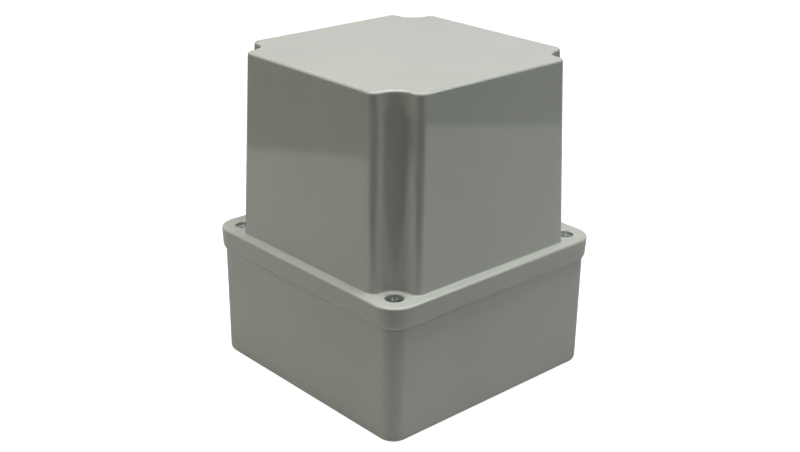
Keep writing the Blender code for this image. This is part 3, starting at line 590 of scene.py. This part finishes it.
# ---- Everything else keeps its CAD shape, with softened edges --------------------------------------------
# Each row has how its nodes' names start, their finish, their slot and the width of their edges in mm.
REFINED = [
    ("screw_retainer", NYLON, "white_nylon", 0.12),
    ("wall_plug", GREY, "grey_plastic", 0.2),
    ("din_rail", BRUSHED_ZINC, "zinc", 0.12),
    ("rail_screw", ZINC, "zinc", 0.1),
    ("terminal_end_plate", TERMINAL_GREY, "terminal_grey", 0.2),
    ("end_stop", TERMINAL_GREY, "terminal_grey", 0.3),
    ("marker_tag", NYLON, "white_nylon", 0.15),
    ("clamp_cage", ZINC, "zinc", 0.1),
    ("clamp_screw", ZINC, "zinc", 0.1),
    ("earth_foot_screw", ZINC, "zinc", 0.1),
    ("earth_foot", ZINC, "zinc", 0.1),
    *((f"terminal_{number}_bar", BRASS, "brass", 0.1) for number in range(1, len(HOUSINGS) + 1)),
]


def refine_the_rest(done):
    bodies = frame["record"]["behaviour"]["bodies"]
    for body, members in bodies.items():
        for node in members:
            if node in done:
                continue
            surface, slot, edge = next(row[1:] for row in REFINED if node.startswith(row[0]))
            show(node_copy(node, f"{node}_visual"), surface, body, [node], edge * MM)


# ---- Studio --------------------------------------------------------------------------------------------
def plain(name, colour, glow=0.0):
    made = Surface(name, 0.9)
    made.shader.inputs["Base Color"].default_value = (*colour, 1.0)
    made.shader.inputs["Specular IOR Level"].default_value = 0.1
    made.shader.inputs["Emission Color"].default_value = (1.0, 1.0, 1.0, 1.0)
    made.shader.inputs["Emission Strength"].default_value = glow
    return made.material


def painted_paper_reflection():
    """A glowing sheet painting the paper's reflection in the gloss, with painted shade near the box."""
    made = Surface("painted_paper_reflection", 0.9)
    made.shader.inputs["Base Color"].default_value = (0.0, 0.0, 0.0, 1.0)
    made.shader.inputs["Specular IOR Level"].default_value = 0.0
    made.shader.inputs["Emission Color"].default_value = (1.0, 1.0, 1.0, 1.0)
    from_box = made.node("ShaderNodeVectorMath")
    from_box.operation = "LENGTH"
    made.links.new(made.place, from_box.inputs[0])
    # Painted shade: the sheet glows dimmer near the box, where the paper lies in the box's shade.
    painted_shade = {"From_Min": 0.07, "From_Max": 0.26, "To_Min": 0.30, "To_Max": 0.60}
    glow = made.node("ShaderNodeMapRange", Value=from_box.outputs["Value"], **painted_shade)
    made.links.new(glow.outputs["Result"], made.shader.inputs["Emission Strength"])
    return made.material


def sheet(name, corners, z, surface):
    bm = bmesh.new()
    bm.faces.new([bm.verts.new((x, y, z)) for x, y in corners])
    obj = new_object(name, bm)
    if obj.data.polygons[0].normal.z < 0:
        obj.data.flip_normals()
    obj.data.materials.append(surface)
    return obj


def upper_half(name, reach, glow):
    """The upper half of a glowing sphere, which casts no shadow and adds no diffuse light."""
    bm = bmesh.new()
    bmesh.ops.create_uvsphere(bm, u_segments=48, v_segments=24, radius=reach)
    bmesh.ops.delete(bm, geom=[v for v in bm.verts if v.co.z < -0.01], context="VERTS")
    obj = new_object(name, bm)
    obj.data.flip_normals()
    obj.data.materials.append(plain(name, (0.0, 0.0, 0.0), glow))
    obj.visible_diffuse = False
    obj.visible_shadow = False
    return obj


def area_light(name, place, target, size, power, colour=(1, 1, 1)):
    light = bpy.data.lights.new(name, "AREA")
    light.shape = "RECTANGLE"
    light.size, light.size_y = size
    light.energy = power
    light.color = colour
    obj = bpy.data.objects.new(name, light)
    obj.location = place
    obj.rotation_euler = (Vector(target) - Vector(place)).to_track_quat("-Z", "Y").to_euler()
    bpy.context.scene.collection.objects.link(obj)
    return obj


# The photo's camera, its place and lens fitted to the box's edges in the photo.
AZIMUTH, ELEVATION, ROLL = math.radians(-42.297), math.radians(22.21), math.radians(0.618)
CAMERA_AT = (-0.31101, -0.33980, 0.24447)
LENS, SENSOR_WIDTH = 56.375, 36.0


def camera():
    data = bpy.data.cameras.new("camera")
    data.sensor_width = SENSOR_WIDTH
    data.lens = LENS
    data.clip_start, data.clip_end = 0.01, 50.0
    obj = bpy.data.objects.new("camera", data)
    bpy.context.scene.collection.objects.link(obj)
    back = Vector((
        math.sin(AZIMUTH) * math.cos(ELEVATION),
        -math.cos(AZIMUTH) * math.cos(ELEVATION),
        math.sin(ELEVATION),
    ))
    right = (-back).cross(Vector((0, 0, 1))).normalized()
    up = right.cross(-back)
    tilted_right = right * math.cos(ROLL) + up * math.sin(ROLL)
    tilted_up = up * math.cos(ROLL) - right * math.sin(ROLL)
    turn = Matrix((tilted_right, tilted_up, back)).transposed().to_4x4()
    obj.matrix_world = Matrix.Translation(CAMERA_AT) @ turn
    bpy.context.scene.camera = obj


# Where the paper's edges are, across the camera's view and away from it, from the middle of the box.
PAPER_LEFT, PAPER_RIGHT, PAPER_NEAR, PAPER_FAR = -0.366, 0.45, -0.25, 0.5
FLOOR_LEVEL, PAPER_LEVEL, PAINTED_REFLECTION_LEVEL = -0.0001, -0.0002, -0.0003
REACH = 6.0  # how far the floor and the backdrop go
FLOOR_GLOW, ROOM_GLOW = 0.96, 0.42


def studio():
    """A pale studio, with separate things for the camera, the gloss and the diffuse light to see."""
    scene = bpy.context.scene
    scene.view_settings.view_transform = "Standard"
    world = bpy.data.worlds.new("studio")
    world.use_nodes = True
    background = world.node_tree.nodes["Background"]
    background.inputs["Color"].default_value = (0.95, 1.0, 1.0, 1.0)
    background.inputs["Strength"].default_value = 0.015
    scene.world = world

    # The paper under the box bounces light up to it; a glowing sheet paints its reflection in the gloss.
    across = Vector((math.cos(AZIMUTH), math.sin(AZIMUTH)))
    deep = Vector((-math.sin(AZIMUTH), math.cos(AZIMUTH)))
    near = [(PAPER_LEFT, PAPER_NEAR), (PAPER_RIGHT, PAPER_NEAR)]
    far = [(PAPER_RIGHT, PAPER_FAR), (PAPER_LEFT, PAPER_FAR)]
    corners = [across * a + deep * d for a, d in near + far]
    paper = sheet("paper", corners, PAPER_LEVEL, plain("paper", (0.50, 0.50, 0.48)))
    paper.visible_camera = False
    paper.visible_glossy = False
    # A painted reflection of the paper: a glowing sheet that only the gloss sees.
    painted_reflection = sheet("painted_reflection", corners, PAINTED_REFLECTION_LEVEL, painted_paper_reflection())
    painted_reflection.visible_camera = False
    painted_reflection.visible_diffuse = False
    painted_reflection.visible_shadow = False
    square = [(-REACH, -REACH), (REACH, -REACH), (REACH, REACH), (-REACH, REACH)]
    floor = sheet("floor", square, FLOOR_LEVEL, plain("floor", (0.3, 0.3, 0.3), FLOOR_GLOW))
    floor.visible_diffuse = False
    floor.visible_glossy = False
    floor.visible_shadow = False
    # The camera sees a backdrop as pale as the floor, and the gloss sees a dimmer room instead.
    upper_half("backdrop", REACH, FLOOR_GLOW).visible_glossy = False
    upper_half("room", 0.9 * REACH, ROOM_GLOW).visible_camera = False
    overhead = area_light("overhead", (0.03, -0.11, 1.3), (0, 0, 0), (0.42, 0.42), 13.0)
    overhead.visible_glossy = False
    softbox = area_light("softbox", (0.05, -0.05, 1.3), (0, 0, 0), (1.3, 1.3), 26.0)
    softbox.visible_diffuse = False
    area_light("left_fill", (-0.50, 0.38, 0.62), (0, 0, 0.07), (0.25, 0.25), 1.8, (1.0, 1.0, 0.90))
    area_light("right_fill", (0.46, -0.50, 0.60), (0, 0, 0.06), (0.25, 0.25), 1.25, (0.93, 1.0, 1.0))


lid()
gasket()
base()
for place, (x_side, y_side) in CORNERS.items():
    lid_screw(place, x_side * SCREW_AT, y_side * SCREW_AT)
terminal_housings()
refine_the_rest({
    "lid_shell",
    "lid_gasket",
    "base_shell",
    *(f"lid_screw_{place}" for place in CORNERS),
    *(f"terminal_{number}_housing" for number in range(1, len(HOUSINGS) + 1)),
})
camera()
studio()
